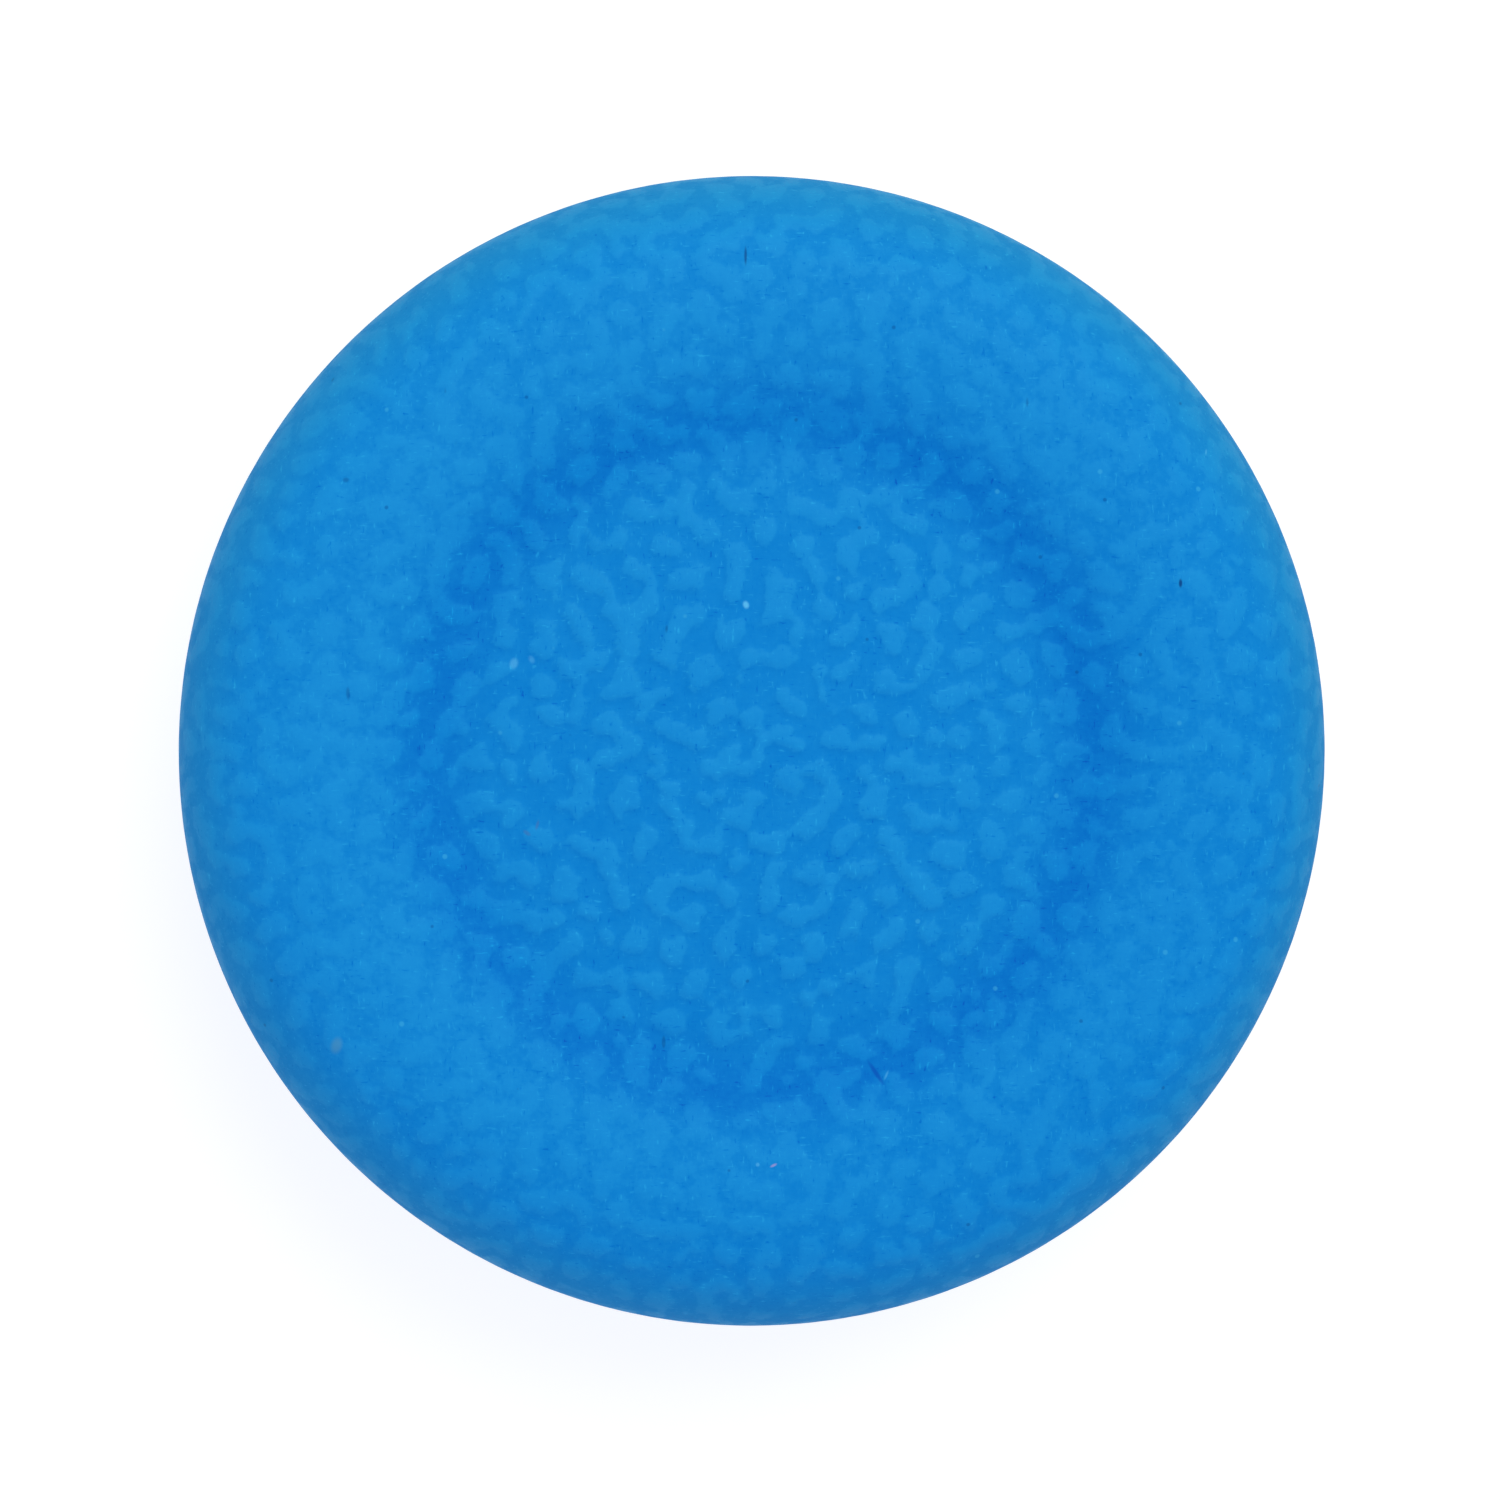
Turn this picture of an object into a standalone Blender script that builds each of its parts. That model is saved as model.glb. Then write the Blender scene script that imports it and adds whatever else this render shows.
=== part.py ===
# Press-on cap for the low thumbstick of a handheld game console, moulded in one piece.
# The cap stands on the foot of its hub, with its thumb face up, at the origin.

import math

import bmesh
import bpy
from mathutils import Matrix

MM = 0.001

# Thumb face, from the centre outwards
cap_diameter = 14.5 * MM
dome_diameter = 7.4 * MM
dome_rise = 0.24 * MM
dome_edge_drop = 0.24 * MM
groove_width = 1.2 * MM
shoulder_drop = 0.04 * MM
crest_diameter = 10.9 * MM

# Edge and skirt
cap_height = 3.2 * MM
edge_drop = 1.35 * MM
skirt_taper = 0.18 * MM
lip_radius = 0.4 * MM
wall = 1.1 * MM

# Hollow underside
core_draft = 0.08 * MM
core_fillet = 0.3 * MM
hub_drop = 1.2 * MM
hub_diameter = 5.0 * MM
hub_draft = 0.1 * MM
hub_chamfer = 0.15 * MM
rib_count = 4
rib_thickness = 0.7 * MM
rib_hub_recess = 0.1 * MM
rib_skirt_recess = 0.6 * MM
rib_turn = math.radians(45)
pin_mark_diameter = 0.8 * MM
pin_mark_depth = 0.06 * MM
pin_mark_gap = 0.03 * MM

# Keyed socket for the stick's post
socket_length = 2.6 * MM
socket_width = 2.0 * MM
socket_depth = 2.9 * MM
socket_corner = 0.2 * MM
lead_in = 0.25 * MM
grip_rib_radius = 0.16 * MM
grip_rib_bite = 0.09 * MM
grip_rib_spacing = 1.3 * MM

# Levels and radii that follow from the sizes above
lip_z = hub_drop
crest_z = lip_z + cap_height
parting_z = crest_z - edge_drop
dome_edge_z = crest_z - dome_edge_drop
shoulder_z = crest_z - shoulder_drop
ceiling_z = dome_edge_z - wall
channel_z = crest_z - wall
cap_radius = cap_diameter / 2
crest_radius = crest_diameter / 2
dome_radius = dome_diameter / 2
shoulder_radius = dome_radius + groove_width
core_radius = cap_radius - wall
hub_foot_radius = hub_diameter / 2
hub_root_radius = hub_foot_radius + hub_draft

# How finely the round forms are divided
round_steps = 80
dome_steps = 7
groove_steps = 8
shoulder_steps = 3
edge_steps = 9
fillet_steps = 3
grip_rib_sides = 12
pin_mark_sides = 24
sharp_angle = math.radians(32)

# How far a joined or cutting shape reaches past the surface that it meets
embed = 0.3 * MM
merge_distance = 0.001 * MM
# The most of a straight run that the fillet at one of its ends may take up
fillet_share = 0.45
# How many times its mean slope a cubic may end at before it dips on the way
steepest_end = 3

plastic_colour = (0.003, 0.243, 0.663, 1)
plastic_roughness = 0.55


def curve_points(start, start_slope, end, end_slope, count):
    """Points of a cubic that leaves start and reaches end, each (r, z), at the given slopes."""
    run = end[0] - start[0]
    points = []
    for i in range(1, count + 1):
        t = i / count
        from_start = 2 * t**3 - 3 * t**2 + 1
        leave = t**3 - 2 * t**2 + t
        reach = t**3 - t**2
        to_end = 1 - from_start
        r = from_start * start[0] + to_end * end[0] + (leave + reach) * run
        z = from_start * start[1] + to_end * end[1]
        z += (leave * start_slope + reach * end_slope) * run
        points.append((r, z))
    return points


def rounded(corners):
    """An outline through (r, z, radius) corners, with an arc at each corner that has a radius."""
    points = [corners[0][:2]]
    for before, corner, after in zip(corners, corners[1:], corners[2:]):
        (r, z, radius) = corner
        back = math.atan2(before[1] - z, before[0] - r)
        ahead = math.atan2(after[1] - z, after[0] - r)
        half = abs(math.remainder(ahead - back, math.tau)) / 2
        if radius == 0:
            points.append((r, z))
            continue
        reach = min(math.dist(corner[:2], before[:2]), math.dist(corner[:2], after[:2])) * fillet_share
        tangent = min(radius / math.tan(half), reach)
        radius = tangent * math.tan(half)
        middle = back + math.remainder(ahead - back, math.tau) / 2
        centre_r = r + math.cos(middle) * radius / math.sin(half)
        centre_z = z + math.sin(middle) * radius / math.sin(half)
        first = math.atan2(z + math.sin(back) * tangent - centre_z, r + math.cos(back) * tangent - centre_r)
        last = math.atan2(z + math.sin(ahead) * tangent - centre_z, r + math.cos(ahead) * tangent - centre_r)
        sweep = math.remainder(last - first, math.tau)
        for i in range(fillet_steps + 1):
            angle = first + sweep * i / fillet_steps
            points.append((centre_r + radius * math.cos(angle), centre_z + radius * math.sin(angle)))
    points.append(corners[-1][:2])
    return points


def dome_points():
    """The shallow dome inside the ring, a circular arc from the axis to the groove."""
    arc_radius = (dome_radius**2 + dome_rise**2) / (2 * dome_rise)
    points = []
    for i in range(dome_steps + 1):
        r = dome_radius * i / dome_steps
        z = dome_edge_z + dome_rise - arc_radius + math.sqrt(arc_radius**2 - r**2)
        points.append((r, z))
    return points


def ring_points():
    """Through the soft groove at the dome's edge, over the ring and round its edge to the parting line."""
    dome_slope = -2 * dome_radius * dome_rise / (dome_radius**2 - dome_rise**2)
    inner_run = crest_radius - shoulder_radius
    groove_climb = (shoulder_z - dome_edge_z) / groove_width
    shoulder_slope = min(2 * shoulder_drop / inner_run, steepest_end * groove_climb)
    dome_edge = (dome_radius, dome_edge_z)
    shoulder = (shoulder_radius, shoulder_z)
    points = curve_points(dome_edge, dome_slope, shoulder, shoulder_slope, groove_steps)
    for i in range(1, shoulder_steps + 1):
        left = 1 - i / shoulder_steps
        points.append((crest_radius - inner_run * left, crest_z - shoulder_drop * left**2))
    for i in range(1, edge_steps + 1):
        angle = math.pi / 2 * i / edge_steps
        r = crest_radius + (cap_radius - crest_radius) * math.sin(angle)
        z = crest_z - edge_drop * (1 - math.cos(angle))
        points.append((r, z))
    return points


def skirt_points():
    """Down from the parting line to the rounded lip, and across the lip to the hollow."""
    return rounded([
        (cap_radius, parting_z, 0),
        (cap_radius - skirt_taper, lip_z, lip_radius),
        (core_radius + core_draft, lip_z, 0),
    ])[1:]


def core_points():
    """Up the hollow, in under the ring, down to the ceiling, down the hub and in to the axis.

    The slope between the two ceilings lies one wall below the ring's inner slope.
    """
    lean = math.atan2(shoulder_z - dome_edge_z, groove_width)
    offset_r = dome_radius + wall * math.sin(lean)
    offset_z = dome_edge_z - wall * math.cos(lean)
    low_r = offset_r + (ceiling_z - offset_z) / math.tan(lean)
    high_r = offset_r + (channel_z - offset_z) / math.tan(lean)
    return rounded([
        (core_radius + core_draft, lip_z, 0),
        (core_radius, channel_z, core_fillet),
        (high_r, channel_z, core_fillet),
        (low_r, ceiling_z, core_fillet),
        (hub_root_radius, ceiling_z, core_fillet),
        (hub_foot_radius, hub_chamfer, 0),
        (hub_foot_radius - hub_chamfer, 0, 0),
        (0, 0, 0),
    ])[1:]


def new_object(name, mesh, collection):
    obj = bpy.data.objects.new(name, mesh)
    collection.objects.link(obj)
    return obj


def from_bmesh(name, bm, collection):
    mesh = bpy.data.meshes.new(name)
    bm.to_mesh(mesh)
    bm.free()
    return new_object(name, mesh, collection)


def turned(name, profile, collection):
    """A solid of revolution about Z from an open (r, z) profile that starts and ends on the axis."""
    bm = bmesh.new()
    corners = [bm.verts.new((r, 0, z)) for r, z in profile]
    for first, second in zip(corners, corners[1:]):
        bm.edges.new((first, second))
    obj = from_bmesh(name, bm, collection)
    screw = obj.modifiers.new("turn", "SCREW")
    screw.axis = "Z"
    screw.angle = math.tau
    screw.steps = round_steps
    screw.render_steps = round_steps
    screw.use_merge_vertices = True
    screw.merge_threshold = merge_distance
    bake(obj)
    return obj


def bake(obj):
    """Replaces the object's mesh with the one that its modifiers give."""
    graph = bpy.context.evaluated_depsgraph_get()
    mesh = bpy.data.meshes.new_from_object(obj.evaluated_get(graph))
    obj.modifiers.clear()
    obj.data = mesh


def combine(obj, tool, operation):
    """Joins tool to obj, or cuts tool out of obj, and keeps tool as a hidden helper."""
    boolean = obj.modifiers.new(tool.name, "BOOLEAN")
    boolean.object = tool
    boolean.operation = operation
    boolean.solver = "EXACT"
    bake(obj)
    tool.hide_render = True
    tool.display_type = "WIRE"


def make_rib(index, collection):
    """One upright web in the hollow, from inside the hub to inside the skirt."""
    inner = hub_foot_radius - embed
    outer = core_radius + embed
    top = (channel_z + dome_edge_z) / 2
    outline = [
        (inner, top),
        (inner, lip_z + rib_hub_recess),
        (hub_root_radius, lip_z + rib_hub_recess),
        (outer, lip_z + rib_skirt_recess),
        (outer, top),
    ]
    bm = bmesh.new()
    corners = [bm.verts.new((r, -rib_thickness / 2, z)) for r, z in outline]
    face = bm.faces.new(corners)
    side = bmesh.ops.extrude_face_region(bm, geom=[face])["geom"]
    moved = [part for part in side if isinstance(part, bmesh.types.BMVert)]
    bmesh.ops.translate(bm, verts=moved, vec=(0, rib_thickness, 0))
    bmesh.ops.recalc_face_normals(bm, faces=bm.faces)
    turn = Matrix.Rotation(rib_turn + math.tau * index / rib_count, 4, "Z")
    bmesh.ops.transform(bm, matrix=turn, verts=bm.verts)
    return from_bmesh(f"rib_{index + 1}", bm, collection)


def make_socket_cutter(collection):
    """The room for the post: a box with rounded upright corners."""
    bm = bmesh.new()
    bmesh.ops.create_cube(bm, size=1)
    height = socket_depth + embed
    size = (socket_length, socket_width, height)
    bmesh.ops.scale(bm, vec=size, verts=bm.verts)
    bmesh.ops.translate(bm, vec=(0, 0, height / 2 - embed), verts=bm.verts)
    upright = [e for e in bm.edges if abs(e.verts[0].co.z - e.verts[1].co.z) > height / 2]
    bmesh.ops.bevel(bm, geom=upright, offset=socket_corner, affect="EDGES", segments=fillet_steps, profile=0.5)
    return from_bmesh("socket_cutter", bm, collection)


def make_lead_in_cutter(collection):
    """The 45 degree funnel at the socket's mouth, which reaches past the foot."""
    bm = bmesh.new()
    bmesh.ops.create_cube(bm, size=2)
    for corner in bm.verts:
        flare = lead_in if corner.co.z > 0 else -lead_in
        spread = lead_in - flare
        corner.co.x *= socket_length / 2 + spread
        corner.co.y *= socket_width / 2 + spread
        corner.co.z = flare
    return from_bmesh("lead_in_cutter", bm, collection)


def make_grip_rib(name, x, side, collection):
    """A slim upright rib on a long wall of the socket, which the post presses into."""
    bm = bmesh.new()
    top = socket_depth + embed
    bottom = lead_in + embed
    bmesh.ops.create_cone(
        bm, cap_ends=True, segments=grip_rib_sides, depth=top - bottom,
        radius1=grip_rib_radius, radius2=grip_rib_radius,
    )
    y = side * (socket_width / 2 + grip_rib_radius - grip_rib_bite)
    bmesh.ops.translate(bm, vec=(x, y, (top + bottom) / 2), verts=bm.verts)
    return from_bmesh(name, bm, collection)


def make_pin_mark(index, collection):
    """The shallow round dent that an ejector pin leaves in the ceiling between two ribs."""
    bm = bmesh.new()
    bmesh.ops.create_cone(
        bm, cap_ends=True, segments=pin_mark_sides, depth=2 * pin_mark_depth,
        radius1=pin_mark_diameter / 2, radius2=pin_mark_diameter / 2,
    )
    between = rib_turn + math.tau * (index + 0.5) / rib_count
    reach = hub_root_radius + core_fillet + pin_mark_gap + pin_mark_diameter / 2
    place = (reach * math.cos(between), reach * math.sin(between), ceiling_z)
    bmesh.ops.translate(bm, vec=place, verts=bm.verts)
    return from_bmesh(f"pin_mark_{index + 1}", bm, collection)


def make_plastic():
    """Matt blue plastic."""
    plastic = bpy.data.materials.new("blue_plastic")
    plastic.use_nodes = True
    shader = plastic.node_tree.nodes["Principled BSDF"]
    shader.inputs["Base Color"].default_value = plastic_colour
    shader.inputs["Roughness"].default_value = plastic_roughness
    shader.inputs["Metallic"].default_value = 0
    return plastic


def main():
    for obj in list(bpy.data.objects):
        bpy.data.objects.remove(obj)
    parts = bpy.data.collections.new("thumbstick_cap")
    helpers = bpy.data.collections.new("cutters")
    bpy.context.scene.collection.children.link(parts)
    bpy.context.scene.collection.children.link(helpers)

    profile = dome_points() + ring_points() + skirt_points() + core_points()
    cap = turned("thumbstick_cap", profile, parts)
    for index in range(rib_count):
        combine(cap, make_rib(index, helpers), "UNION")
    for index in range(rib_count):
        combine(cap, make_pin_mark(index, helpers), "DIFFERENCE")
    combine(cap, make_socket_cutter(helpers), "DIFFERENCE")
    for side in (-1, 1):
        for end in (-1, 1):
            name = f"grip_rib_{'front' if side < 0 else 'back'}_{'left' if end < 0 else 'right'}"
            rib = make_grip_rib(name, end * grip_rib_spacing / 2, side, helpers)
            combine(cap, rib, "UNION")
    combine(cap, make_lead_in_cutter(helpers), "DIFFERENCE")

    cap.data.materials.clear()
    cap.data.materials.append(make_plastic())
    cap.data.shade_smooth()
    cap.data.set_sharp_from_angle(angle=sharp_angle)


main()
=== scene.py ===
import math

import bmesh
import bpy
import numpy as np
from mathutils import Matrix, Vector


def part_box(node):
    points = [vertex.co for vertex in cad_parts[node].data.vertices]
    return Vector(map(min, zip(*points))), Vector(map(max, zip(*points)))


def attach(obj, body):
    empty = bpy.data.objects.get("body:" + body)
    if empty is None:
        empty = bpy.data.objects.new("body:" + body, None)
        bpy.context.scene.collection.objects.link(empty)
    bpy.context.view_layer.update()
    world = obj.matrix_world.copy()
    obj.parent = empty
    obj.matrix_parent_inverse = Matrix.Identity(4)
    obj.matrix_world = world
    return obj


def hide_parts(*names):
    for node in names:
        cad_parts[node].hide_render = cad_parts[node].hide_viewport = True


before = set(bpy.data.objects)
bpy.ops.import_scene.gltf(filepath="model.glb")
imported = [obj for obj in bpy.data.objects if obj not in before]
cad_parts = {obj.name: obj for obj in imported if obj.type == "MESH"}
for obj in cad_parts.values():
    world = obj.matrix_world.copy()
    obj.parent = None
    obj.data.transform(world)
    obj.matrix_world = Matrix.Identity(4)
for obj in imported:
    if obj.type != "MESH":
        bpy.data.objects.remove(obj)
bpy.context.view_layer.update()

print("frame loaded")

mm = 0.001
node = "thumbstick_cap"
lowCorner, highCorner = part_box(node)
capRadius = (highCorner.x - lowCorner.x) / 2
crestLevel = highCorner.z


# The thumb face, from the centre outwards
face = {
    "domeRadius": 3.7 * mm,
    "domeRise": 0.24 * mm,
    "domeEdgeDrop": 0.24 * mm,  # below the ring's crest
    "grooveRun": 1.2 * mm,  # from the dome's edge to the ring's shoulder
    "shoulderDrop": 0.04 * mm,
    "crestRadius": 5.45 * mm,
    "edgeDrop": 1.35 * mm,  # from the crest down to the widest line
    "grainReach": 0.3 * mm,  # how far the grain goes on below the widest line
    "squares": 296,  # of the grid across the face
    "lineSteps": 160,  # in each stretch of the face's line
    "rasterRoom": 1.1,  # the grain's raster is this much wider than the unrolled face
}
domeEdgeLevel = crestLevel - face["domeEdgeDrop"]
shoulderRadius = face["domeRadius"] + face["grooveRun"]
shoulderLevel = crestLevel - face["shoulderDrop"]
widestLevel = crestLevel - face["edgeDrop"]
grainEndLevel = widestLevel - face["grainReach"]

# The skirt and the hollow under the face
under = {
    "lipLevel": 1.2 * mm,
    "skirtTaper": 0.18 * mm,
    "rimStep": 0.02 * mm,  # the plain skirt starts this far inside the grained skin
    "lipRound": 0.4 * mm,
    "wall": 1.1 * mm,
    "coreDraft": 0.08 * mm,
    "coreRound": 0.3 * mm,
    "hubRadius": 2.5 * mm,
    "hubDraft": 0.1 * mm,
    "hubChamfer": 0.15 * mm,
    "ribCount": 4,
    "ribThickness": 0.7 * mm,
    "ribHubRecess": 0.1 * mm,
    "ribSkirtRecess": 0.6 * mm,
    "ribTurn": math.radians(45),
    "pinMarkRadius": 0.4 * mm,
    "pinMarkDepth": 0.06 * mm,
    "pinMarkGap": 0.03 * mm,
    "pinMarkSides": 32,
    "turns": 144,
    "roundSteps": 7,
    "roundShare": 0.45,  # the most of a straight run that a round may take
    "embed": 0.3 * mm,  # how far joined shapes reach into each other
    "mergeDistance": 0.0005 * mm,
    "sharpAngle": math.radians(32),
}
ceilingLevel = domeEdgeLevel - under["wall"]
channelLevel = crestLevel - under["wall"]
coreRadius = capRadius - under["wall"]
hubRootRadius = under["hubRadius"] + under["hubDraft"]


def skirtRadius(level):
    # the skirt narrows from the widest line down to the lip
    down = (widestLevel - level) / (widestLevel - under["lipLevel"])
    return capRadius - under["skirtTaper"] * down


def cubic(start, startSlope, end, endSlope, steps):
    # from start to end, each (r, z), at the given slopes, without its first point
    run = end[0] - start[0]
    t = np.linspace(0, 1, steps + 1)[1:]
    fromStart = 2 * t**3 - 3 * t**2 + 1
    leave = t**3 - 2 * t**2 + t
    reach = t**3 - t**2
    r = fromStart * start[0] + (1 - fromStart) * end[0] + (leave + reach) * run
    z = fromStart * start[1] + (1 - fromStart) * end[1]
    return np.column_stack((r, z + (leave * startSlope + reach * endSlope) * run))


def faceLine():
    # from the axis over the ring to just below the widest line
    steps = face["lineSteps"]
    radius, rise = face["domeRadius"], face["domeRise"]
    bend = (radius**2 + rise**2) / (2 * rise)
    r = np.linspace(0, radius, steps)
    dome = np.column_stack((r, domeEdgeLevel + rise - bend + np.sqrt(bend**2 - r**2)))

    innerRun = face["crestRadius"] - shoulderRadius
    domeSlope = -2 * radius * rise / (radius**2 - rise**2)
    shoulderSlope = 2 * face["shoulderDrop"] / innerRun
    domeEdge = (radius, domeEdgeLevel)
    shoulder = (shoulderRadius, shoulderLevel)
    valley = cubic(domeEdge, domeSlope, shoulder, shoulderSlope, steps)

    left = np.linspace(1, 0, steps)[1:]
    climbR = face["crestRadius"] - innerRun * left
    climb = np.column_stack((climbR, crestLevel - face["shoulderDrop"] * left**2))

    turn = np.linspace(0, math.pi / 2, steps)[1:]
    edgeR = face["crestRadius"] + (capRadius - face["crestRadius"]) * np.sin(turn)
    edge = np.column_stack((edgeR, crestLevel - face["edgeDrop"] * (1 - np.cos(turn))))
    end = (skirtRadius(grainEndLevel), grainEndLevel)
    return np.vstack((dome, valley, climb, edge, end))


# The moulded grain: raised dots and short worms
grain = {
    "seed": 5,
    "raster": 1024,
    "pitch": 0.48 * mm,
    "pitchSpread": 0.48,
    "rounds": 3,
    "gain": 1.7,
    "bias": -0.6,
    "patchSize": 0.6 * mm,
    "patchiness": 0.3,
    "raggedSize": 0.26 * mm,
    "raggedSpread": 0.5,
    "raggedness": 0.25,
    "lastRaggedness": 0.4,
    "softness": 0.09 * mm,
    "fatten": 0.3,
    "depth": 0.032 * mm,
    "crestFade": 0.55,  # how much shallower it is on the ring's crest
    "fadeWidth": 1.5 * mm,
    "edgeFade": 0.95,  # and round the outer edge
    "edgePaleFade": 0.2,  # how much fainter its colour is there
    "edgeStart": 6.4 * mm,
    "wornHeight": 0.62,  # what is left where the grain is rubbed smooth
    "plainHeight": 0.5,  # the height that lies level with the plain skirt
    "plainKept": 0.5,  # how strong the fine strokes are on the skirt and the underside
}

# Where the grain is worn or shallow: x, y, radius, and how much of it is gone
softPatches = [
    (-4.4 * mm, -2.9 * mm, 2.1 * mm, 0.4),
    (-1.2 * mm, -5.0 * mm, 1.4 * mm, 0.25),
    (0.1 * mm, 3.7 * mm, 0.9 * mm, 0.6),
    (3.5 * mm, -0.6 * mm, 0.9 * mm, 0.5),
    (-4.6 * mm, 3.6 * mm, 1.3 * mm, 0.3),
    (4.9 * mm, -3.0 * mm, 1.5 * mm, 0.35),
    (-5.6 * mm, 0.2 * mm, 1.1 * mm, 0.3),
    (3.6 * mm, 4.1 * mm, 1.9 * mm, 0.3),
]


def growGrain(span):
    # noise of one pitch, sharpened over and over until it stands in worms and dots
    rng = np.random.default_rng(grain["seed"])
    count = grain["raster"]
    frequency = np.fft.fftfreq(count, span / count)
    radial = np.maximum(np.hypot(*np.meshgrid(frequency, frequency)), 1e-9)  # above 0 for the logarithms

    def passed(field, keep):
        field = np.fft.ifft2(np.fft.fft2(field) * keep).real
        return field / field.std()

    field = rng.standard_normal((count, count))
    patches = passed(rng.standard_normal((count, count)), np.exp(-(radial * grain["patchSize"]) ** 2))
    ragged = np.exp(-(np.log(radial * grain["raggedSize"]) / grain["raggedSpread"]) ** 2)
    ragged = passed(rng.standard_normal((count, count)), ragged)
    push = grain["bias"] + grain["patchiness"] * patches
    lastRound = grain["rounds"] - 1
    ring = np.exp(-(np.log(radial * grain["pitch"]) / grain["pitchSpread"]) ** 2)
    for turn in range(grain["rounds"]):
        share = grain["lastRaggedness"] if turn == lastRound else grain["raggedness"]
        field = np.tanh(grain["gain"] * (passed(field, ring) + push + share * ragged))
    soft = np.fft.ifft2(np.fft.fft2(field) * np.exp(-(radial * grain["softness"]) ** 2)).real
    return np.clip(0.5 + 0.5 * soft + grain["fatten"] * (1 - soft**2), 0, 1)


def sampled(raster, span, u, v):
    # the raster's value at places on the unrolled face, blended between its four nearest points
    count = len(raster)
    column, row = (u / span + 0.5) * count, (v / span + 0.5) * count
    left, low = np.floor(column).astype(int), np.floor(row).astype(int)
    across, up = column - left, row - low
    right, high = (left + 1) % count, (low + 1) % count
    left, low = left % count, low % count
    below = raster[low, left] * (1 - across) + raster[low, right] * across
    above = raster[high, left] * (1 - across) + raster[high, right] * across
    return below * (1 - up) + above * up


def smoothStep(t):
    t = np.clip(t, 0, 1)
    return t * t * (3 - 2 * t)


def grainKept(r, x, y):
    # how much of the grain is left beside the ring's crest and the soft patches
    kept = 1 - grain["crestFade"] * np.exp(-(((r - face["crestRadius"]) / grain["fadeWidth"]) ** 2))
    for middleX, middleY, radius, gone in softPatches:
        kept *= 1 - gone * np.exp(-((x - middleX) ** 2 + (y - middleY) ** 2) / radius**2)
    return kept


def worn(height, left, fade):
    # the grain's height where only some of it is left, and the plain skirt's where it ends
    smooth, plain = grain["wornHeight"], grain["plainHeight"]
    return plain + (smooth + (height - smooth) * left - plain) * fade


# Painted shade: the band along the groove where the colour goes deeper, standing in for the groove's own
# shade
grooveShade = {
    "middle": 4.18 * mm,
    "width": 0.49 * mm,
}

# Painted shade round the edge: the colour goes darker and greyer towards the rim, standing in for the lesser
# light on its steep sides
rimShade = {
    "start": 6.35 * mm,
    "run": 0.9 * mm,
    "below": 0.4,  # how much of it is left on the skirt and the underside
}

# Painted light: the ring's side towards the upper left is painted paler, as though more light fell on it
litSide = {
    "towards": math.radians(137),
    "start": 3.6 * mm,
    "run": 1.1 * mm,
}


def squareGrid():
    # a flat grid, and its points' places from -1 to 1
    bm = bmesh.new()
    bmesh.ops.create_grid(bm, x_segments=face["squares"], y_segments=face["squares"], size=1)
    mesh = bpy.data.meshes.new("faceSkin")
    bm.to_mesh(mesh)
    bm.free()
    place = np.empty(len(mesh.vertices) * 3, np.float32)
    mesh.vertices.foreach_get("co", place)
    x, y = place.reshape(-1, 3)[:, :2].T.astype(float)
    return mesh, x, y


def roundedOff(x, y):
    # the square's rings turned to circles: how far out each point lies, and its direction
    wide = abs(x) > abs(y)
    signed = np.where(wide, x, y)
    share = np.where(wide, y, x) / np.where(signed == 0, 1, signed)
    angle = np.where(wide, share, 2 - share) * math.pi / 4
    side = np.sign(signed) + (signed == 0)
    return abs(signed), np.cos(angle) * side, np.sin(angle) * side


def makeFaceSkin():
    # a square grid rounded into a disc, laid over the face's line and raised by the grain
    mesh, x, y = squareGrid()
    out, cos, sin = roundedOff(x, y)
    line = faceLine()
    lengths = np.concatenate(([0], np.cumsum(np.hypot(*np.diff(line, axis=0).T))))
    total = lengths[-1]
    along = out * total
    tangent = np.gradient(line, lengths, axis=0)
    r, z = (np.interp(along, lengths, line[:, k]) for k in (0, 1))
    tangentR, tangentZ = (np.interp(along, lengths, tangent[:, k]) for k in (0, 1))
    size = np.hypot(tangentR, tangentZ)

    span = 2 * total * face["rasterRoom"]
    height = sampled(growGrain(span), span, along * cos, along * sin)
    kept = grainKept(r, r * cos, r * sin)
    nearEdge = smoothStep((r - grain["edgeStart"]) / (capRadius - grain["edgeStart"]))
    fade = smoothStep((total - along) / face["grainReach"])
    relief = worn(height, kept * (1 - grain["edgeFade"] * nearEdge), fade)
    lift = (relief - grain["plainHeight"]) * grain["depth"]

    # painted light on the ring's side towards the upper left
    onRing = smoothStep((r - litSide["start"]) / litSide["run"])
    facing = cos * math.cos(litSide["towards"]) + sin * math.sin(litSide["towards"])
    # painted shade: darker towards the rim
    rimShading = smoothStep((r - rimShade["start"]) / rimShade["run"])
    layers = {
        "grain": worn(height, kept * (1 - grain["edgePaleFade"] * nearEdge), fade),
        "kept": kept,
        # painted shade along the groove
        "grooveShade": np.exp(-(((r - grooveShade["middle"]) / grooveShade["width"]) ** 2)),
        # painted light: paler on the ring's side towards the upper left
        "pale": onRing * facing,
        # painted shade round the rim, weaker on the skirt and the underside
        "rimShade": rimShading * (rimShade["below"] + (1 - rimShade["below"]) * fade),
    }
    r = r - tangentZ / size * lift
    z = z + tangentR / size * lift
    place = np.column_stack((r * cos, r * sin, z)).astype(np.float32)
    mesh.vertices.foreach_set("co", place.ravel())
    for name, values in layers.items():
        layer = mesh.attributes.new(name, "FLOAT", "POINT")
        layer.data.foreach_set("value", values.astype(np.float32))
    mesh.polygons.foreach_set("use_smooth", np.ones(len(mesh.polygons), bool))
    mesh.update()
    return mesh


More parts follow.
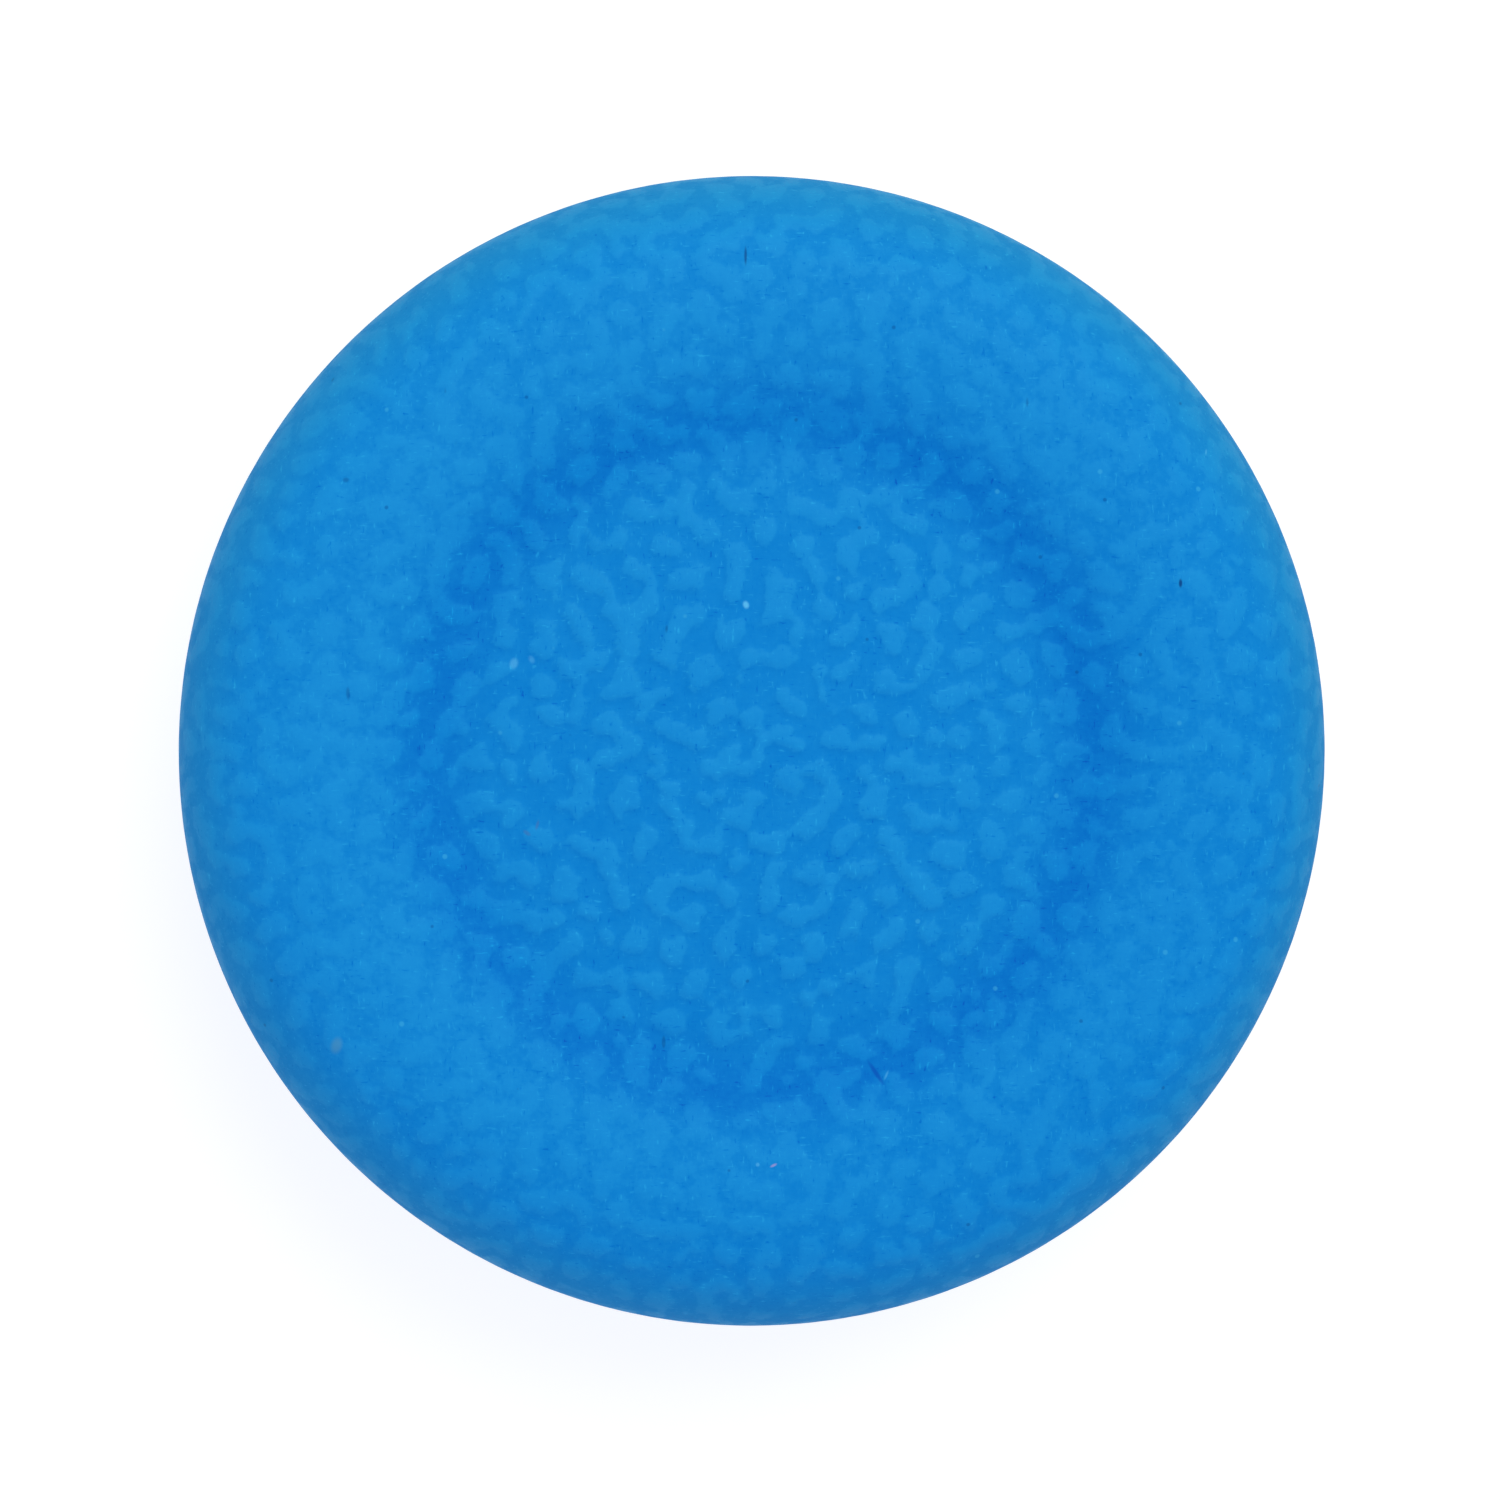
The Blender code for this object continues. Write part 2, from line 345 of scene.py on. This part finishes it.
def roundedLine(corners):
    # an outline through (r, z, round) corners, with an arc where a corner has a round
    points = [corners[0][:2]]
    for before, corner, after in zip(corners, corners[1:], corners[2:]):
        spot = Vector(corner[:2])
        back, ahead = Vector(before[:2]) - spot, Vector(after[:2]) - spot
        if corner[2] == 0:
            points.append(tuple(spot))
            continue
        half = back.angle(ahead) / 2
        reach = min(corner[2] / math.tan(half), min(back.length, ahead.length) * under["roundShare"])
        radius = reach * math.tan(half)
        centre = spot + (back.normalized() + ahead.normalized()).normalized() * radius / math.sin(half)
        first = spot + back.normalized() * reach - centre
        sweep = -first.angle_signed(spot + ahead.normalized() * reach - centre)
        for step in range(under["roundSteps"] + 1):
            points.append(tuple(centre + Matrix.Rotation(sweep * step / under["roundSteps"], 2) @ first))
    points.append(corners[-1][:2])
    return points


def shellLine():
    # a flat lid in place of the face, then the skirt, the lip, the hollow and the hub
    rimRadius = skirtRadius(grainEndLevel) - under["rimStep"]
    # between the two ceilings the hollow climbs one wall below the ring's inner slope
    lean = math.atan2(shoulderLevel - domeEdgeLevel, face["grooveRun"])
    offsetR = face["domeRadius"] + under["wall"] * math.sin(lean)
    offsetZ = domeEdgeLevel - under["wall"] * math.cos(lean)
    lowR = offsetR + (ceilingLevel - offsetZ) / math.tan(lean)
    highR = offsetR + (channelLevel - offsetZ) / math.tan(lean)
    lip, rounding = under["lipLevel"], under["coreRound"]
    return [(0, crestLevel), (rimRadius, crestLevel)] + roundedLine([
        (rimRadius, grainEndLevel, 0),
        (skirtRadius(lip), lip, under["lipRound"]),
        (coreRadius + under["coreDraft"], lip, 0),
        (coreRadius, channelLevel, rounding),
        (highR, channelLevel, rounding),
        (lowR, ceilingLevel, rounding),
        (hubRootRadius, ceilingLevel, rounding),
        (under["hubRadius"], under["hubChamfer"], 0),
        (under["hubRadius"] - under["hubChamfer"], 0, 0),
        (0, 0, 0),
    ])


def asObject(name, bm):
    mesh = bpy.data.meshes.new(name)
    bm.to_mesh(mesh)
    bm.free()
    obj = bpy.data.objects.new(name, mesh)
    bpy.context.scene.collection.objects.link(obj)
    return obj


def spun(name, line):
    # a line of (r, z) points turned once round the axis
    bm = bmesh.new()
    points = [bm.verts.new((r, 0, z)) for r, z in line]
    edges = [bm.edges.new(pair) for pair in zip(points, points[1:])]
    bmesh.ops.spin(
        bm, geom=points + edges, cent=(0, 0, 0), axis=(0, 0, 1), angle=math.tau,
        steps=under["turns"], use_merge=True,
    )
    bmesh.ops.remove_doubles(bm, verts=bm.verts, dist=under["mergeDistance"])
    bmesh.ops.recalc_face_normals(bm, faces=bm.faces)
    return asObject(name, bm)


def apply(obj, tool, operation):
    # joins the tool to the object or cuts it out, and then throws the tool away
    change = obj.modifiers.new("change", "BOOLEAN")
    change.object = tool
    change.operation = operation
    change.solver = "EXACT"
    graph = bpy.context.evaluated_depsgraph_get()
    mesh = bpy.data.meshes.new_from_object(obj.evaluated_get(graph))
    obj.modifiers.clear()
    obj.data = mesh
    bpy.data.objects.remove(tool)


def ribs():
    # upright webs in the hollow, from inside the hub to inside the skirt
    lip, embed = under["lipLevel"], under["embed"]
    inner, outer = under["hubRadius"] - embed, coreRadius + embed
    top = (channelLevel + domeEdgeLevel) / 2
    hubEdge, skirtEdge = lip + under["ribHubRecess"], lip + under["ribSkirtRecess"]
    outline = [(inner, top), (inner, hubEdge), (hubRootRadius, hubEdge), (outer, skirtEdge), (outer, top)]
    bm = bmesh.new()
    for index in range(under["ribCount"]):
        corners = [bm.verts.new((r, -under["ribThickness"] / 2, z)) for r, z in outline]
        flat = bm.faces.new(corners)
        grown = bmesh.ops.extrude_face_region(bm, geom=[flat])["geom"]
        moved = [part for part in grown if isinstance(part, bmesh.types.BMVert)]
        bmesh.ops.translate(bm, verts=moved, vec=(0, under["ribThickness"], 0))
        turn = Matrix.Rotation(under["ribTurn"] + math.tau * index / under["ribCount"], 4, "Z")
        bmesh.ops.transform(bm, matrix=turn, verts=corners + moved)
    bmesh.ops.recalc_face_normals(bm, faces=bm.faces)
    return asObject("ribs", bm)


def pinMarks():
    # shallow round dents in the ceiling, one between each two ribs
    bm = bmesh.new()
    reach = hubRootRadius + under["coreRound"] + under["pinMarkGap"] + under["pinMarkRadius"]
    for index in range(under["ribCount"]):
        angle = under["ribTurn"] + math.tau * (index + 0.5) / under["ribCount"]
        spot = Matrix.Translation((reach * math.cos(angle), reach * math.sin(angle), ceilingLevel))
        bmesh.ops.create_cone(
            bm, cap_ends=True, segments=under["pinMarkSides"], depth=2 * under["pinMarkDepth"],
            radius1=under["pinMarkRadius"], radius2=under["pinMarkRadius"], matrix=spot,
        )
    return asObject("pinMarks", bm)


# The keyed socket for the stick's post
socket = {
    "length": 2.6 * mm,
    "width": 2.0 * mm,
    "depth": 2.9 * mm,
    "corner": 0.2 * mm,
    "cornerSteps": 5,
    "leadIn": 0.25 * mm,
    "gripRadius": 0.16 * mm,
    "gripBite": 0.09 * mm,
    "gripSpacing": 1.3 * mm,
    "gripSides": 20,
}


def socketRoom():
    # the post's room: a box with rounded upright corners
    bm = bmesh.new()
    height = socket["depth"] + under["embed"]
    size = Matrix.Diagonal((socket["length"], socket["width"], height, 1))
    bmesh.ops.create_cube(bm, size=1, matrix=Matrix.Translation((0, 0, height / 2 - under["embed"])) @ size)
    upright = [edge for edge in bm.edges if abs(edge.verts[0].co.z - edge.verts[1].co.z) > height / 2]
    bmesh.ops.bevel(
        bm, geom=upright, offset=socket["corner"], affect="EDGES",
        segments=socket["cornerSteps"], profile=0.5, material=-1,
    )
    return asObject("socketRoom", bm)


def gripRibs():
    # four slim upright ribs on the socket's long walls, which the post presses into
    bm = bmesh.new()
    top, bottom = socket["depth"] + under["embed"], socket["leadIn"] + under["embed"]
    y = socket["width"] / 2 + socket["gripRadius"] - socket["gripBite"]
    for side in (-1, 1):
        for end in (-1, 1):
            spot = Matrix.Translation((end * socket["gripSpacing"] / 2, side * y, (top + bottom) / 2))
            bmesh.ops.create_cone(
                bm, cap_ends=True, segments=socket["gripSides"], depth=top - bottom,
                radius1=socket["gripRadius"], radius2=socket["gripRadius"], matrix=spot,
            )
    return asObject("gripRibs", bm)


def leadIn():
    # the 45 degree funnel at the socket's mouth, which reaches past the foot
    bm = bmesh.new()
    bmesh.ops.create_cube(bm, size=2)
    for corner in bm.verts:
        flare = socket["leadIn"] if corner.co.z > 0 else -socket["leadIn"]
        spread = socket["leadIn"] - flare
        corner.co.x *= socket["length"] / 2 + spread
        corner.co.y *= socket["width"] / 2 + spread
        corner.co.z = flare
    return asObject("leadIn", bm)


def makeShell():
    shell = spun("shell", shellLine())
    apply(shell, ribs(), "UNION")
    apply(shell, pinMarks(), "DIFFERENCE")
    apply(shell, socketRoom(), "DIFFERENCE")
    apply(shell, gripRibs(), "UNION")
    apply(shell, leadIn(), "DIFFERENCE")
    shell.data.shade_smooth()
    shell.data.set_sharp_from_angle(angle=under["sharpAngle"])
    return shell


def isLid(polygon):
    # the shell's stand-in for the face, which the grained skin takes the place of
    middle = polygon.calc_center_median()
    if middle.z < grainEndLevel:
        return False
    outside = math.hypot(middle.x, middle.y) > coreRadius + under["embed"]
    return outside or middle.z > channelLevel + under["embed"]


def makeCap():
    skin = makeFaceSkin()
    print("thumb face grained")
    shell = makeShell()
    print("underside made")
    bm = bmesh.new()
    bm.from_mesh(shell.data)
    bmesh.ops.delete(bm, geom=[part for part in bm.faces if isLid(part)], context="FACES")
    # the shell keeps part of the rim's painted shade
    plain = {"grain": grain["plainHeight"], "kept": grain["plainKept"], "rimShade": rimShade["below"]}
    for name, value in plain.items():
        layer = bm.verts.layers.float.new(name)
        for vert in bm.verts:
            vert[layer] = value
    bm.from_mesh(skin)
    rims = [edge for edge in bm.edges if edge.is_boundary]
    band = bmesh.ops.bridge_loops(bm, edges=rims)["faces"]
    for part in band:
        part.smooth = True
    for edge in rims:
        edge.smooth = False
    bmesh.ops.recalc_face_normals(bm, faces=bm.faces)
    openEdges = [edge for edge in bm.edges if not edge.is_manifold]
    triangles = sum(len(part.verts) - 2 for part in bm.faces)
    print("open edges", len(openEdges), "triangles", triangles)
    bpy.data.objects.remove(shell)
    cap = asObject("cap_moulding", bm)
    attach(cap, "root")
    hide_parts(node)
    return cap


def feed(tree, port, value):
    # links another node's output to the port, or writes a fixed value on it
    if isinstance(value, bpy.types.NodeSocket):
        tree.links.new(value, port)
    else:
        port.default_value = value


def maths(tree, kind, first, second):
    added = tree.nodes.new("ShaderNodeMath")
    added.operation = kind
    feed(tree, added.inputs[0], first)
    feed(tree, added.inputs[1], second)
    return added.outputs[0]


def mixed(tree, factor, first, second):
    # two colours, and past them where the factor goes past 0 or 1
    added = tree.nodes.new("ShaderNodeMix")
    added.data_type = "RGBA"
    added.clamp_factor = False
    added.clamp_result = True
    feed(tree, added.inputs["Factor"], factor)
    feed(tree, added.inputs["A"], first)
    feed(tree, added.inputs["B"], second)
    return added.outputs["Result"]


def mapped(tree, value, low, high, start, end, smooth=False):
    # low becomes start and high becomes end, and nothing goes past them
    added = tree.nodes.new("ShaderNodeMapRange")
    added.interpolation_type = "SMOOTHSTEP" if smooth else "LINEAR"
    for name, number in (("From Min", low), ("From Max", high), ("To Min", start), ("To Max", end)):
        added.inputs[name].default_value = number
    tree.links.new(value, added.inputs["Value"])
    return added.outputs["Result"]


def attribute(tree, name):
    added = tree.nodes.new("ShaderNodeAttribute")
    added.attribute_name = name
    return added.outputs["Fac"]


def noise(tree, place, scale, detail=2):
    added = tree.nodes.new("ShaderNodeTexNoise")
    added.inputs["Scale"].default_value = scale
    added.inputs["Detail"].default_value = detail
    tree.links.new(place, added.inputs["Vector"])
    return added.outputs["Fac"]


def stretched(tree, place, share, offset=0):
    # an axis with a share below 1 is drawn out, and the pattern starts elsewhere with an offset
    added = tree.nodes.new("ShaderNodeMapping")
    added.inputs["Scale"].default_value = share
    added.inputs["Location"].default_value = (offset, 0, 0)
    tree.links.new(place, added.inputs["Vector"])
    return added.outputs["Vector"]


plastic = {
    # painted shade and light of the grain: deeper in its valleys, paler on its bumps
    "valley": (0.0026, 0.2225, 0.6500, 1),
    "bump": (0.0066, 0.2605, 0.6840, 1),
    # the groove's colours, painted deeper as shade in the groove
    "shadedGrooveValley": (0.0004, 0.174, 0.602, 1),
    "shadedGrooveBump": (0.0022, 0.219, 0.651, 1),
    # the colour of the rim's painted shade
    "rimShade": (0.0180, 0.240, 0.350, 1),
    "rimShadeShare": 0.25,
    # how strong the ring's painted light is
    "litSideShare": 0.2,
    "roughness": 0.6,
    "roughSpread": 0.08,
    "specular": 0.05,
    "noiseSpan": (0.25, 0.75),  # where most of a noise lies
    "raggedScale": 12000,
    "raggedShare": 0.45,
    "softWorm": (0.08, 0.84),  # from valley to bump, in the grain's height
    "crispWorm": (0.34, 0.58),
    "crispShare": 0.35,
    "cloudScale": 1700,
    "cloudShare": 0.45,
    "mottleScale": 9000,
    "mottleShare": 0.45,
    "strokeScale": 30000,
    "strokeStretch": 0.25,
    "strokeShare": 0.2,
    "paleHair": (0.66, 0.76, 0, 2.2),  # the strokes' noise from here to here adds from 0 to this
    "darkHair": (0.24, 0.33, -1.8, 0),
    "ringStrokes": 0.7,  # how strong they are where the grain is gone
    "bumpScale": 22000,
    "bumpDetail": 3,
    "bumpHeight": 0.002 * mm,
}

# Tiny specks and fibres in the finish: size, spacing, stretch, offset, tint and how strong it is
specks = {
    "pale": (0.042 * mm, 0.80 * mm, (1, 1, 1), 4 * mm, (0.04, 0.40, 0.76, 1), 0.5),
    "dark": (0.032 * mm, 0.60 * mm, (1, 1, 1), 4 * mm, (0.0005, 0.09, 0.34, 1), 0.55),
    "fibre": (0.030 * mm, 0.90 * mm, (1, 0.3, 1), 5 * mm, (0.0005, 0.08, 0.30, 1), 0.5),
}
speckCore = 0.5  # the share of a speck's size that has its full tint

# The marks that show one by one: x, y, half width, half height, turn, tint and how strong it is
paleTint = (0.10, 0.50, 0.88, 1)
greyTint = (0.06, 0.29, 0.56, 1)
pinkTint = (0.30, 0.30, 0.65, 1)
rustTint = (0.06, 0.13, 0.36, 1)
darkTint = (0.002, 0.06, 0.25, 1)
deepTint = (0.0005, 0.08, 0.47, 1)
marks = [
    (-0.22 * mm, 1.85 * mm, 0.042 * mm, 0.055 * mm, 20, paleTint, 0.9),
    (-3.11 * mm, 1.12 * mm, 0.060 * mm, 0.080 * mm, -20, paleTint, 0.45),
    (-2.89 * mm, 1.17 * mm, 0.040 * mm, 0.060 * mm, 30, paleTint, 0.3),
    (1.42 * mm, -4.00 * mm, 0.034 * mm, 0.190 * mm, 33, deepTint, 0.75),
    (1.55 * mm, -4.03 * mm, 0.016 * mm, 0.070 * mm, -25, paleTint, 0.35),
    (-0.22 * mm, 6.20 * mm, 0.020 * mm, 0.130 * mm, -2, darkTint, 0.75),
    (5.23 * mm, 2.12 * mm, 0.026 * mm, 0.060 * mm, 0, darkTint, 0.95),
    (5.30 * mm, 4.38 * mm, 0.030 * mm, 0.030 * mm, 0, darkTint, 0.7),
    (5.61 * mm, 3.77 * mm, 0.016 * mm, 0.050 * mm, -10, paleTint, 0.5),
    (-5.32 * mm, -3.63 * mm, 0.080 * mm, 0.120 * mm, -15, greyTint, 0.75),
    (0.12 * mm, -5.14 * mm, 0.050 * mm, 0.018 * mm, 25, pinkTint, 0.8),
    (-0.08 * mm, -5.13 * mm, 0.028 * mm, 0.028 * mm, 0, paleTint, 0.45),
    (-2.95 * mm, -0.99 * mm, 0.060 * mm, 0.030 * mm, -35, rustTint, 0.4),
    (-2.82 * mm, -0.89 * mm, 0.022 * mm, 0.070 * mm, -15, rustTint, 0.4),
    (-5.18 * mm, 0.75 * mm, 0.028 * mm, 0.090 * mm, 3, darkTint, 0.4),
    (-5.20 * mm, 3.40 * mm, 0.045 * mm, 0.035 * mm, 0, darkTint, 0.4),
]
markReach = 0.8 * mm  # how far down from the crest a mark still shows
markEdge = (0.4, 1.2)  # a mark fades between these shares of its half size


def swing(tree, pattern, share):
    # a noise made to go half the share up and half of it down
    return mapped(tree, pattern, *plastic["noiseSpan"], -share / 2, share / 2)


def wormShade(tree, place):
    # the worms keep their place from the mesh and get ragged edges from fine noise
    ragged = swing(tree, noise(tree, place, plastic["raggedScale"]), plastic["raggedShare"])
    edged = maths(tree, "ADD", attribute(tree, "grain"), ragged)
    crisp = plastic["crispShare"]
    soft = mapped(tree, edged, *plastic["softWorm"], 0, 1 - crisp, smooth=True)
    sharp = mapped(tree, edged, *plastic["crispWorm"], 0, crisp, smooth=True)
    shade = maths(tree, "ADD", soft, sharp)
    for name in ("cloud", "mottle"):
        drift = swing(tree, noise(tree, place, plastic[name + "Scale"]), plastic[name + "Share"])
        shade = maths(tree, "ADD", shade, drift)
    return shade


def withStrokes(tree, place, shade):
    # fine strokes both ways, with a pale or dark hair where their noise is strongest
    strength = mapped(tree, attribute(tree, "kept"), 0, 1, plastic["ringStrokes"], 1)
    for share in ((1, plastic["strokeStretch"], 1), (plastic["strokeStretch"], 1, 1)):
        strokes = noise(tree, stretched(tree, place, share), plastic["strokeScale"])
        fine = swing(tree, strokes, plastic["strokeShare"])
        for hair in ("paleHair", "darkHair"):
            fine = maths(tree, "ADD", fine, mapped(tree, strokes, *plastic[hair]))
        shade = maths(tree, "ADD", shade, maths(tree, "MULTIPLY", fine, strength))
    return shade


def withSpecks(tree, place, colour):
    for size, spacing, share, offset, tint, strength in specks.values():
        dots = tree.nodes.new("ShaderNodeTexVoronoi")
        dots.inputs["Scale"].default_value = 1 / spacing
        tree.links.new(stretched(tree, place, share, offset), dots.inputs["Vector"])
        reach = size / spacing
        inside = mapped(tree, dots.outputs["Distance"], speckCore * reach, reach, strength, 0, smooth=True)
        colour = mixed(tree, inside, colour, tint)
    return colour


def withMarks(tree, place, colour):
    for x, y, halfWidth, halfHeight, turn, tint, strength in marks:
        spot = tree.nodes.new("ShaderNodeMapping")
        spot.vector_type = "TEXTURE"
        spot.inputs["Location"].default_value = (x, y, crestLevel)
        spot.inputs["Rotation"].default_value = (0, 0, math.radians(turn))
        spot.inputs["Scale"].default_value = (halfWidth, halfHeight, markReach)
        tree.links.new(place, spot.inputs["Vector"])
        away = tree.nodes.new("ShaderNodeVectorMath")
        away.operation = "LENGTH"
        tree.links.new(spot.outputs["Vector"], away.inputs[0])
        inside = mapped(tree, away.outputs["Value"], *markEdge, strength, 0, smooth=True)
        colour = mixed(tree, inside, colour, tint)
    return colour


def makePlastic():
    material = bpy.data.materials.new("cap_plastic")
    material.use_nodes = True
    tree = material.node_tree
    shader = tree.nodes["Principled BSDF"]
    shader.inputs["Specular IOR Level"].default_value = plastic["specular"]
    place = tree.nodes.new("ShaderNodeTexCoord").outputs["Object"]

    shade = withStrokes(tree, place, wormShade(tree, place))
    # painted light: the ring's side towards the upper left goes paler
    shade = maths(tree, "ADD", shade, maths(tree, "MULTIPLY", attribute(tree, "pale"), plastic["litSideShare"]))
    # painted shade and light of the grain: deeper in its valleys, paler on its bumps
    plain = mixed(tree, shade, plastic["valley"], plastic["bump"])
    # painted shade: the colour goes deeper along the groove
    grooveShaded = mixed(tree, shade, plastic["shadedGrooveValley"], plastic["shadedGrooveBump"])
    colour = mixed(tree, attribute(tree, "grooveShade"), plain, grooveShaded)
    colour = withMarks(tree, place, withSpecks(tree, place, colour))
    # painted shade: the rim goes darker and greyer
    rimShadeAmount = maths(tree, "MULTIPLY", attribute(tree, "rimShade"), plastic["rimShadeShare"])
    tree.links.new(mixed(tree, rimShadeAmount, colour, plastic["rimShade"]), shader.inputs["Base Color"])

    spread = plastic["roughSpread"]
    rough = mapped(tree, shade, 0, 1, plastic["roughness"] + spread, plastic["roughness"] - spread)
    tree.links.new(rough, shader.inputs["Roughness"])
    skin = tree.nodes.new("ShaderNodeBump")
    skin.inputs["Distance"].default_value = plastic["bumpHeight"]
    tree.links.new(noise(tree, place, plastic["bumpScale"], plastic["bumpDetail"]), skin.inputs["Height"])
    tree.links.new(skin.outputs["Normal"], shader.inputs["Normal"])
    return material


studio = {
    "floorSize": 0.6,
    "floorDrop": 0.02 * mm,  # below the cap's foot
    "floorColour": (0.86, 0.86, 0.86, 1),
    "seenColour": (0.35, 0.35, 0.35, 1),  # the floor's colour for the camera, besides its glow
    "floorGlow": 0.78,  # for the camera alone
    "floorRoughness": 0.9,
    "floorSpecular": 0.1,
    "white": (1, 1, 1, 1),
    "skyLight": (0.63, 0.644, 0.784, 1),
    "bounceLight": (1.0, 0.95, 0.80, 1),  # from below, in place of the floor's own bounce
    "sunStrength": 1.15,
    "sunColour": (1.25, 1.20, 0.70),
    "sunAngle": math.radians(50),
    "sunAzimuth": math.radians(66),
    "sunElevation": math.radians(52),
    "sunDistance": 0.2,
}


def anyOf(tree, *facts):
    # 1 where one of the facts is 1
    found = facts[0]
    for fact in facts[1:]:
        found = maths(tree, "MAXIMUM", found, fact)
    return found


def directRay(tree):
    # 1 for rays from the camera, and for what gloss and clear matter show
    path = tree.nodes.new("ShaderNodeLightPath").outputs
    return anyOf(tree, path["Is Camera Ray"], path["Is Glossy Ray"], path["Is Transmission Ray"])


def makeFloor():
    bm = bmesh.new()
    bmesh.ops.create_grid(bm, x_segments=1, y_segments=1, size=studio["floorSize"] / 2)
    bmesh.ops.translate(bm, verts=bm.verts, vec=(0, 0, -studio["floorDrop"]))
    floor = asObject("floor", bm)
    material = bpy.data.materials.new("studioFloor")
    material.use_nodes = True
    tree = material.node_tree
    shader = tree.nodes["Principled BSDF"]
    direct = directRay(tree)
    pale = mixed(tree, direct, studio["floorColour"], studio["seenColour"])
    tree.links.new(pale, shader.inputs["Base Color"])
    shader.inputs["Roughness"].default_value = studio["floorRoughness"]
    shader.inputs["Specular IOR Level"].default_value = studio["floorSpecular"]
    shader.inputs["Emission Color"].default_value = studio["white"]
    tree.links.new(maths(tree, "MULTIPLY", direct, studio["floorGlow"]), shader.inputs["Emission Strength"])

    # the floor lets light up to the underside, and from below it lets the underside be seen
    clear = tree.nodes.new("ShaderNodeBsdfTransparent")
    side = tree.nodes.new("ShaderNodeNewGeometry").outputs
    path = tree.nodes.new("ShaderNodeLightPath").outputs
    choice = tree.nodes.new("ShaderNodeMixShader")
    passing = anyOf(tree, side["Backfacing"], path["Is Diffuse Ray"], path["Is Shadow Ray"])
    tree.links.new(passing, choice.inputs["Fac"])
    tree.links.new(shader.outputs["BSDF"], choice.inputs[1])
    tree.links.new(clear.outputs["BSDF"], choice.inputs[2])
    tree.links.new(choice.outputs["Shader"], tree.nodes["Material Output"].inputs["Surface"])
    floor.data.materials.append(material)


def makeSky():
    # a cool sky, a warm bounce from below, and plain white for the camera
    world = bpy.data.worlds.new("studioSky")
    bpy.context.scene.world = world
    world.use_nodes = True
    tree = world.node_tree
    split = tree.nodes.new("ShaderNodeSeparateXYZ")
    tree.links.new(tree.nodes.new("ShaderNodeTexCoord").outputs["Generated"], split.inputs[0])
    below = maths(tree, "LESS_THAN", split.outputs["Z"], 0)
    light = mixed(tree, below, studio["skyLight"], studio["bounceLight"])
    seen = mixed(tree, directRay(tree), light, studio["white"])
    tree.links.new(seen, tree.nodes["Background"].inputs["Color"])


def makeSun():
    lamp = bpy.data.lights.new("softKey", "SUN")
    lamp.energy = studio["sunStrength"]
    lamp.color = studio["sunColour"]
    lamp.angle = studio["sunAngle"]
    key = bpy.data.objects.new("softKey", lamp)
    bpy.context.scene.collection.objects.link(key)
    azimuth, elevation = studio["sunAzimuth"], studio["sunElevation"]
    flat = math.cos(elevation)
    towards = Vector((flat * math.cos(azimuth), flat * math.sin(azimuth), math.sin(elevation)))
    key.rotation_euler = towards.to_track_quat("Z", "Y").to_euler()
    key.location = towards * studio["sunDistance"]


view = {
    "lens": 200,
    "sensor": 36,
    "frameSize": 1500,
    "capSize": 1149,  # the cap's width in the frame
    "aimX": -0.058 * mm,  # the frame's middle beside the cap's, to the right and up
    "aimY": 0.018 * mm,
    "leanX": -5.0,  # degrees towards the picture's left
    "leanY": 1.0,  # degrees towards its top
    "nearest": 1 * mm,
    "farthest": 10,
}


def makeCamera():
    lens = bpy.data.cameras.new("topCamera")
    lens.lens = view["lens"]
    lens.sensor_width = view["sensor"]
    lens.clip_start = view["nearest"]
    lens.clip_end = view["farthest"]
    camera = bpy.data.objects.new("topCamera", lens)
    bpy.context.scene.collection.objects.link(camera)
    frameWidth = 2 * capRadius * view["frameSize"] / view["capSize"]
    distance = frameWidth * view["lens"] / view["sensor"]
    leanX, leanY = math.radians(view["leanX"]), math.radians(view["leanY"])
    back = Vector((math.tan(leanX), math.tan(leanY), 1)).normalized()
    right = Vector((0, 1, 0)).cross(back).normalized()
    up = back.cross(right)
    turn = Matrix((right, up, back)).transposed().to_4x4()
    target = Vector((0, 0, widestLevel)) + right * view["aimX"] + up * view["aimY"]
    camera.matrix_world = Matrix.Translation(target + back * distance) @ turn
    bpy.context.scene.camera = camera


def main():
    bpy.context.scene.view_settings.view_transform = "Standard"
    makeCamera()
    makeFloor()
    makeSky()
    makeSun()
    print("studio set")
    cap = makeCap()
    cap.data.materials.append(makePlastic())
    print("cap done")


main()
